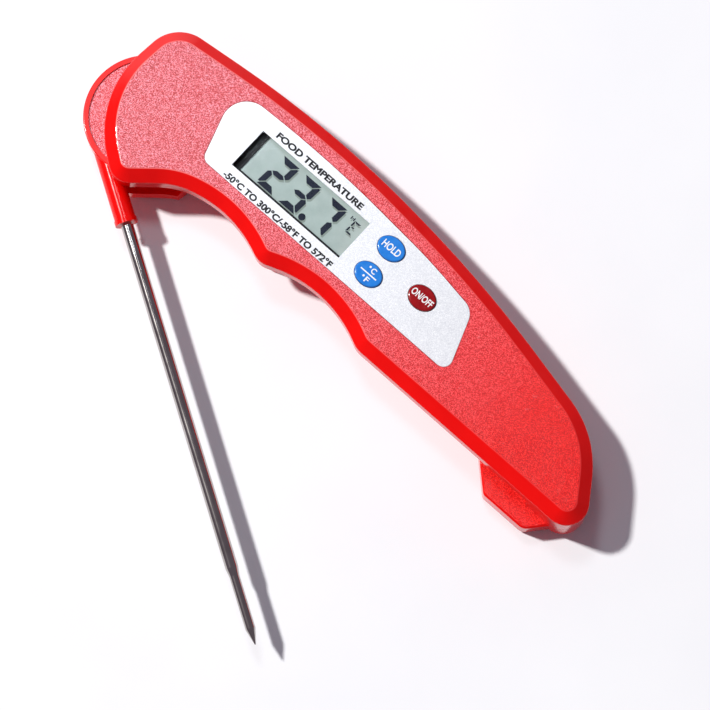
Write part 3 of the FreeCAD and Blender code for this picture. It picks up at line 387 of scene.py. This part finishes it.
def cell_jacket():
    """Shrink film over a battery can."""
    made, tree, shader = surface("cell_jacket", Metallic=0.2, Coat_Weight=0.4)
    feed(tree, shader, "Base Color", two_tone(tree, grain(tree, 4.0), (0.05, 0.05, 0.055),
                                              (0.10, 0.10, 0.11)))
    feed(tree, shader, "Roughness", between(tree, grain(tree, 1.2), 0.25, 0.42))
    relief(tree, shader, (grain(tree, 0.8), 0.01))
    return made


def ink(name, dark, light, rough):
    """Screen-printed ink with slightly uneven cover."""
    made, tree, shader = surface(name, Specular_IOR_Level=0.15)
    feed(tree, shader, "Base Color", two_tone(tree, grain(tree, 0.25, detail=5.0), dark, light))
    feed(tree, shader, "Roughness", between(tree, grain(tree, 0.5), rough, rough + 0.15))
    relief(tree, shader, (grain(tree, 0.12), 0.004))
    return made


def segment_ink():
    return ink("segment_ink", (0.006, 0.009, 0.022), (0.012, 0.016, 0.034), 0.25)


def segment_shadow():
    return ink("segment_shadow", (0.20, 0.25, 0.23), (0.24, 0.295, 0.27), 0.45)


def black_ink():
    return ink("black_ink", (0.012, 0.012, 0.014), (0.03, 0.03, 0.034), 0.40)


def white_ink():
    return ink("white_ink", (0.80, 0.80, 0.81), (0.90, 0.90, 0.90), 0.35)


def floor_paper():
    """Matt white board that the thermometer lies on."""
    made, tree, shader = surface("floor_paper", IOR=1.3)
    feed(tree, shader, "Base Color", two_tone(tree, grain(tree, 60.0, detail=4.0), (0.84, 0.84, 0.865),
                                              (0.88, 0.88, 0.90)))
    feed(tree, shader, "Roughness", between(tree, grain(tree, 8.0), 0.55, 0.70))
    relief(tree, shader, (grain(tree, 0.6), 0.01))
    return made


def paint_nodes():
    """Give every CAD node the material of its slot in the record."""
    makers = [red_shell, label_film, clear_window, black_bezel, display_cell, zebra_rubber, blue_key, red_key,
              board_laminate, black_epoxy, component_body, probe_steel, spring_steel, screw_steel,
              lead_insulation, magnet_plating, cell_jacket]
    made = {maker.__name__: maker() for maker in makers}
    for part in frame["record"]["subparts"]:
        slots = frame["nodes"][part["node"]].material_slots
        for slot in slots:
            slot.material = made[part["material_slot"]]


# ---------------------------------------------------------------- printed marks

def mesh_piece(name, mesh, material, body):
    """Object over a mesh that is already in place, riding on a body."""
    piece = bpy.data.objects.new(name, mesh)
    bpy.context.scene.collection.objects.link(piece)
    mesh.materials.clear()
    mesh.materials.append(material)
    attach(piece, body)
    return piece


def letters(text, low, high, level, weight):
    """Mesh of one line of text, fitted to a box from low to high, in millimetres on a level."""
    curve = bpy.data.curves.new("line", "FONT")
    curve.body = text
    curve.size = 10
    curve.extrude = 0.5
    curve.bevel_depth = weight
    curve.bevel_resolution = 0
    holder = bpy.data.objects.new("line", curve)
    bpy.context.scene.collection.objects.link(holder)
    mesh = bpy.data.meshes.new_from_object(holder.evaluated_get(bpy.context.evaluated_depsgraph_get()))
    bpy.data.objects.remove(holder)
    points = [vertex.co for vertex in mesh.vertices]
    left, right = min(p.x for p in points), max(p.x for p in points)
    bottom, top = min(p.y for p in points), max(p.y for p in points)
    for point in points:
        point.x = (low[0] + (high[0] - low[0]) * (point.x - left) / (right - left)) * MM
        point.y = (low[1] + (high[1] - low[1]) * (point.y - bottom) / (top - bottom)) * MM
        point.z = level + (PRINT * MM if point.z > 0 else 0)
    return mesh


def plates(outlines, level, thickness=PRINT):
    """Mesh of thin flat plates over closed outlines in millimetres."""
    mesh = bpy.data.meshes.new("plates")
    work = bmesh.new()
    for outline in outlines:
        rings = []
        for height in (level, level + thickness * MM):
            rings.append([work.verts.new((x * MM, y * MM, height)) for x, y in outline])
        low, high = rings
        work.faces.new(reversed(low))
        work.faces.new(high)
        for index in range(len(outline)):
            following = (index + 1) % len(outline)
            work.faces.new((low[index], low[following], high[following], high[index]))
    bmesh.ops.recalc_face_normals(work, faces=work.faces)
    work.to_mesh(mesh)
    work.free()
    return mesh


def joined(*meshes):
    """One mesh from several."""
    work = bmesh.new()
    for mesh in meshes:
        work.from_mesh(mesh)
    result = bpy.data.meshes.new("joined")
    work.to_mesh(result)
    work.free()
    return result


def disc_outline(x, y, radius, count=24):
    """Closed outline of a round dot, in millimetres."""
    turns = [2 * math.pi * index / count for index in range(count)]
    return [(x + radius * math.cos(turn), y + radius * math.sin(turn)) for turn in turns]


def segment_outlines(segments, x, y, width, height, bar, gap, slant):
    """Outlines of the lit segments of one seven-segment digit, leaning by a slant."""
    middle = height / 2
    half = 0.42 * bar
    clip = 0.3 * bar
    shapes = {
        "a": [(gap, height), (width - gap, height), (width - bar - gap, height - bar),
              (bar + gap, height - bar)],
        "d": [(gap, 0), (width - gap, 0), (width - bar - gap, bar), (bar + gap, bar)],
        "f": [(0, height - gap - clip), (clip, height - gap - clip), (bar, height - bar - gap),
              (bar, middle + half + gap), (half, middle + gap), (0, middle + gap + half)],
        "e": [(0, gap + clip), (clip, gap + clip), (bar, bar + gap), (bar, middle - half - gap),
              (half, middle - gap), (0, middle - gap - half)],
        "g": [(half + gap, middle), (bar + gap, middle + half), (width - bar - gap, middle + half),
              (width - half - gap, middle), (width - bar - gap, middle - half), (bar + gap, middle - half)],
    }
    shapes["b"] = [(width - px, py) for px, py in shapes["f"]]
    shapes["c"] = [(width - px, py) for px, py in shapes["e"]]
    return [[(x + px + py * slant, y + py) for px, py in shapes[name]] for name in segments]


def make_display_marks():
    """Reading of the display with the soft shadow that its segments throw on the reflector."""
    dark = segment_ink()
    grey = segment_shadow()
    slant = math.tan(math.radians(4))
    outlines = []
    for segments, x in (("abged", 30.85), ("abgcd", 37.75), ("abc", 45.9)):
        outlines += segment_outlines(segments, x, 4.7, 5.2, 9.1, 1.5, 0.16, slant)
    outlines.append(disc_outline(44.65, 5.5, 0.88))
    outlines += segment_outlines("adef", 54.3, 9.65, 2.0, 3.5, 0.42, 0.12, slant)
    outlines.append([(54.95, 11.25), (55.6, 11.25), (55.65, 11.6), (55.0, 11.6)])
    outlines += [[(x, 12.8), (x + 0.3, 12.8), (x + 0.36, 13.6), (x + 0.06, 13.6)] for x in (53.25, 54.05)]
    outlines.append([(53.7, 13.1), (53.95, 13.1), (53.95, 13.35), (53.7, 13.35)])
    mesh_piece("display_reading", plates(outlines, GLASS_TOP), dark, "case")
    shifted = [[(px + SHADOW_SHIFT[0], py + SHADOW_SHIFT[1]) for px, py in outline] for outline in outlines]
    mesh_piece("display_shadow", plates(shifted, GLASS_TOP, SHADOW), grey, "case")


def make_label_marks():
    """Title and measuring range on the label."""
    black = black_ink()
    title = letters("FOOD TEMPERATURE", (27.55, 15.26), (54.15, 16.93), LABEL_TOP, LABEL_WEIGHT)
    mesh_piece("label_title", title, black, "case")
    reach = "-50\u00b0C TO 300\u00b0C/-58\u00b0F TO 572\u00b0F"
    span = letters(reach, (24.47, 0.08), (58.02, 1.84), LABEL_TOP, LABEL_WEIGHT)
    mesh_piece("label_span", span, black, "case")


def make_key_marks():
    """White legends of the three keys."""
    white = white_ink()
    hold = letters("HOLD", (63.25, 12.40), (68.25, 14.25), KEY_TOP, KEY_WEIGHT)
    mesh_piece("hold_legend", hold, white, "hold_key")
    bar = [(63.45, 5.03), (68.15, 5.03), (68.15, 5.33), (63.45, 5.33)]
    upper = letters("C", (65.75, 5.75), (66.95, 7.15), KEY_TOP, KEY_WEIGHT)
    lower = letters("F", (65.95, 3.15), (66.95, 4.55), KEY_TOP, KEY_WEIGHT)
    dots = [disc_outline(65.1, 6.75, 0.27), disc_outline(65.2, 4.15, 0.27)]
    unit = joined(plates([bar, *dots], KEY_TOP), upper, lower)
    mesh_piece("unit_legend", unit, white, "unit_key")
    power = letters("ON/OFF", (75.85, 8.45), (81.80, 10.20), KEY_TOP, KEY_WEIGHT)
    mesh_piece("power_legend", power, white, "power_key")


def make_stage():
    """White board a hair under the part."""
    size = 1.6
    gap = 0.0002
    mesh = bpy.data.meshes.new("floor")
    corners = [(-size, -size, 0), (size, -size, 0), (size, size, 0), (-size, size, 0)]
    mesh.from_pydata(corners, [], [(0, 1, 2, 3)])
    floor = bpy.data.objects.new("floor", mesh)
    floor.location.z = -gap
    mesh.materials.append(floor_paper())
    bpy.context.scene.collection.objects.link(floor)


def area_light(name, direction, distance, size, power, colour):
    """Square soft light aimed at the middle of the handle."""
    lamp = bpy.data.lights.new(name, "AREA")
    lamp.size = size
    lamp.energy = power
    lamp.color = colour
    holder = bpy.data.objects.new(name, lamp)
    towards = Vector(direction).normalized()
    holder.location = Vector(HANDLE_MIDDLE) + towards * distance
    holder.rotation_euler = towards.to_track_quat("Z", "Y").to_euler()
    bpy.context.scene.collection.objects.link(holder)


def make_lights():
    """Key light from the head's side, a weak cool box above the head, and a dim even sky."""
    area_light("key", (-0.556, -0.211, 0.804), distance=2.6, size=0.17, power=76.0,
               colour=(0.985, 0.99, 0.97))
    area_light("head_box", (-0.34, 0.185, 0.922), distance=1.0, size=0.16, power=1.2,
               colour=(0.82, 0.92, 1.0))
    world = bpy.data.worlds.new("studio")
    world.use_nodes = True
    sky = world.node_tree.nodes["Background"]
    sky.inputs["Color"].default_value = (0.97, 0.82, 1.0, 1)
    sky.inputs["Strength"].default_value = 0.17
    bpy.context.scene.world = world
    bpy.context.scene.view_settings.view_transform = "Standard"


def make_camera():
    """Camera above the display, a little to its lower right."""
    target = Vector((75.95, -10.74, 15.2)) * MM
    camera = bpy.data.cameras.new("camera")
    camera.lens = 141.97
    holder = bpy.data.objects.new("camera", camera)
    back = Vector((89.8, -100.1, 632.8)) * MM
    right = Vector((0.744, 0.668, 0)).normalized()
    up = back.normalized().cross(right)
    turn = Matrix((right, up, back.normalized())).transposed().to_4x4()
    holder.matrix_world = Matrix.Translation(target + back) @ turn
    bpy.context.scene.collection.objects.link(holder)
    bpy.context.scene.camera = holder


paint_nodes()
make_display_marks()
make_label_marks()
make_key_marks()
make_stage()
make_lights()
make_camera()
